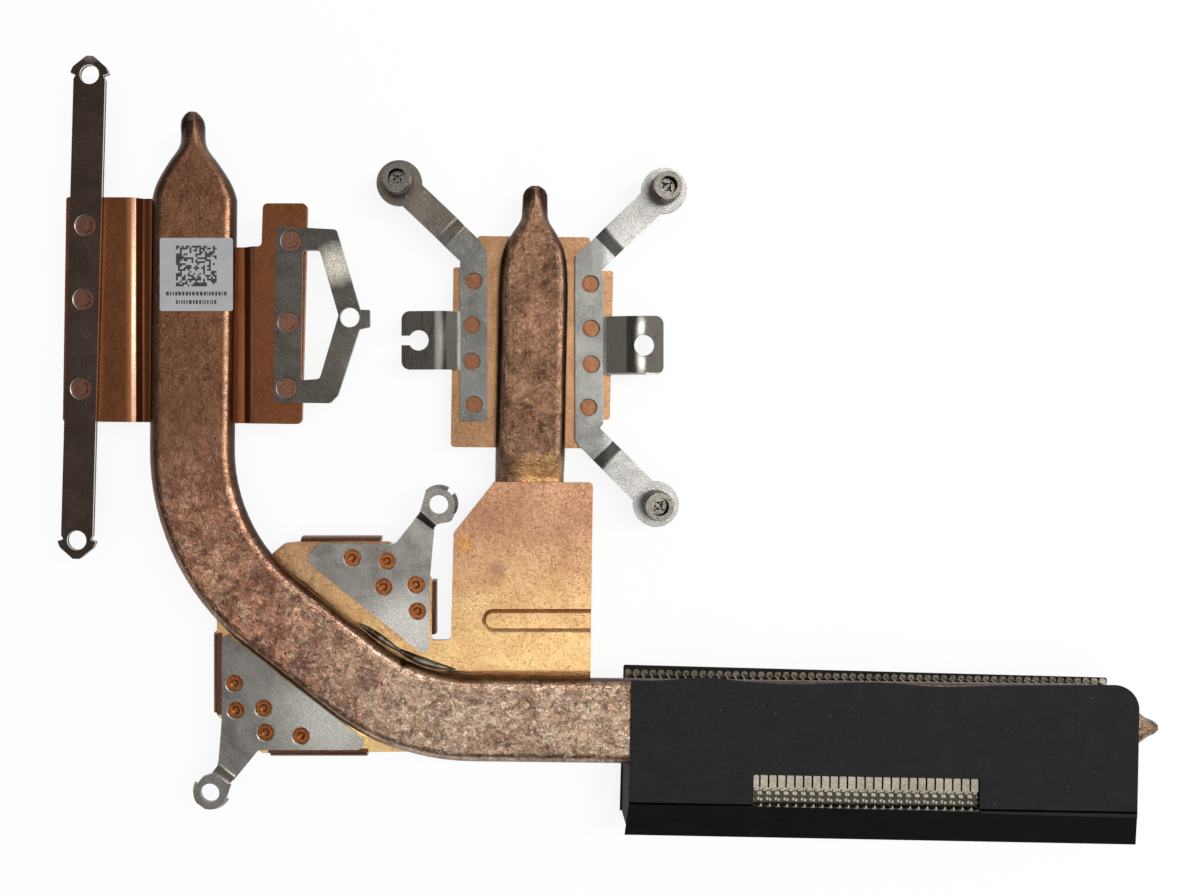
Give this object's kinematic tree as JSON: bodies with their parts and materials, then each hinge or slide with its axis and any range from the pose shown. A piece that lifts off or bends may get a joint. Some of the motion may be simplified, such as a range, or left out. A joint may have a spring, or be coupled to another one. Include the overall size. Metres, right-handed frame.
{
  "type": "laptop cooling heatsink",
  "caption": "Flat laptop heatsink: flattened heat pipes join copper plates, sprung steel brackets and captive screws to a taped stack of thin fins.",
  "frame": {"origin": "middle of the whole part's underside", "axes": "+X along the fin stack, +Y from the fins towards the pipes' closed ends, +Z towards the side that carries the screws"},
  "size_m": [0.1576, 0.113, 0.0078],
  "materials": {
    "pipe_copper": "oxidised satin",
    "short_pipe_copper": "oxidised satin",
    "left_copper": "satin",
    "plate_copper": "satin",
    "fin_copper": "tinned, satin",
    "strip_steel": "satin",
    "bracket_steel": "satin",
    "housing_steel": "bright",
    "screw_steel": "dark",
    "black_tape": "matte",
    "black_strip": "matte",
    "label_film": "matte"
  },
  "bodies": {
    "heatsink": {"main_heat_pipe": "pipe_copper", "short_heat_pipe": "short_pipe_copper", "left_plate": "left_copper", "middle_plate": "left_copper", "base_plate": "plate_copper", "left_strip": "strip_steel", "loop_bracket": "bracket_steel", "left_arm_bracket": "bracket_steel", "right_arm_bracket": "bracket_steel", "upper_corner_spring": "bracket_steel", "lower_corner_spring": "bracket_steel", "fin_stack": "fin_copper", "bottom_film": "black_tape", "top_tape": "black_tape", "front_strip": "black_strip", "label": "label_film", "screw_housing_1": "housing_steel", "screw_housing_2": "housing_steel", "screw_housing_3": "housing_steel"},
    "screw_1": {"captive_screw_1": "screw_steel"},
    "screw_2": {"captive_screw_2": "screw_steel"},
    "screw_3": {"captive_screw_3": "screw_steel"}
  },
  "joints": [
    {"name": "screw_1_turn", "type": "hinge", "parent": "heatsink", "child": "screw_1", "pos_m": [-0.03004, 0.03863, 0.0034], "axis": [0, 0, 1], "continuous": true},
    {"name": "screw_2_turn", "type": "hinge", "parent": "heatsink", "child": "screw_2", "pos_m": [0.0083, 0.03753, 0.0034], "axis": [0, 0, 1], "continuous": true},
    {"name": "screw_3_turn", "type": "hinge", "parent": "heatsink", "child": "screw_3", "pos_m": [0.00711, -0.00787, 0.0034], "axis": [0, 0, 1], "continuous": true}
  ]
}
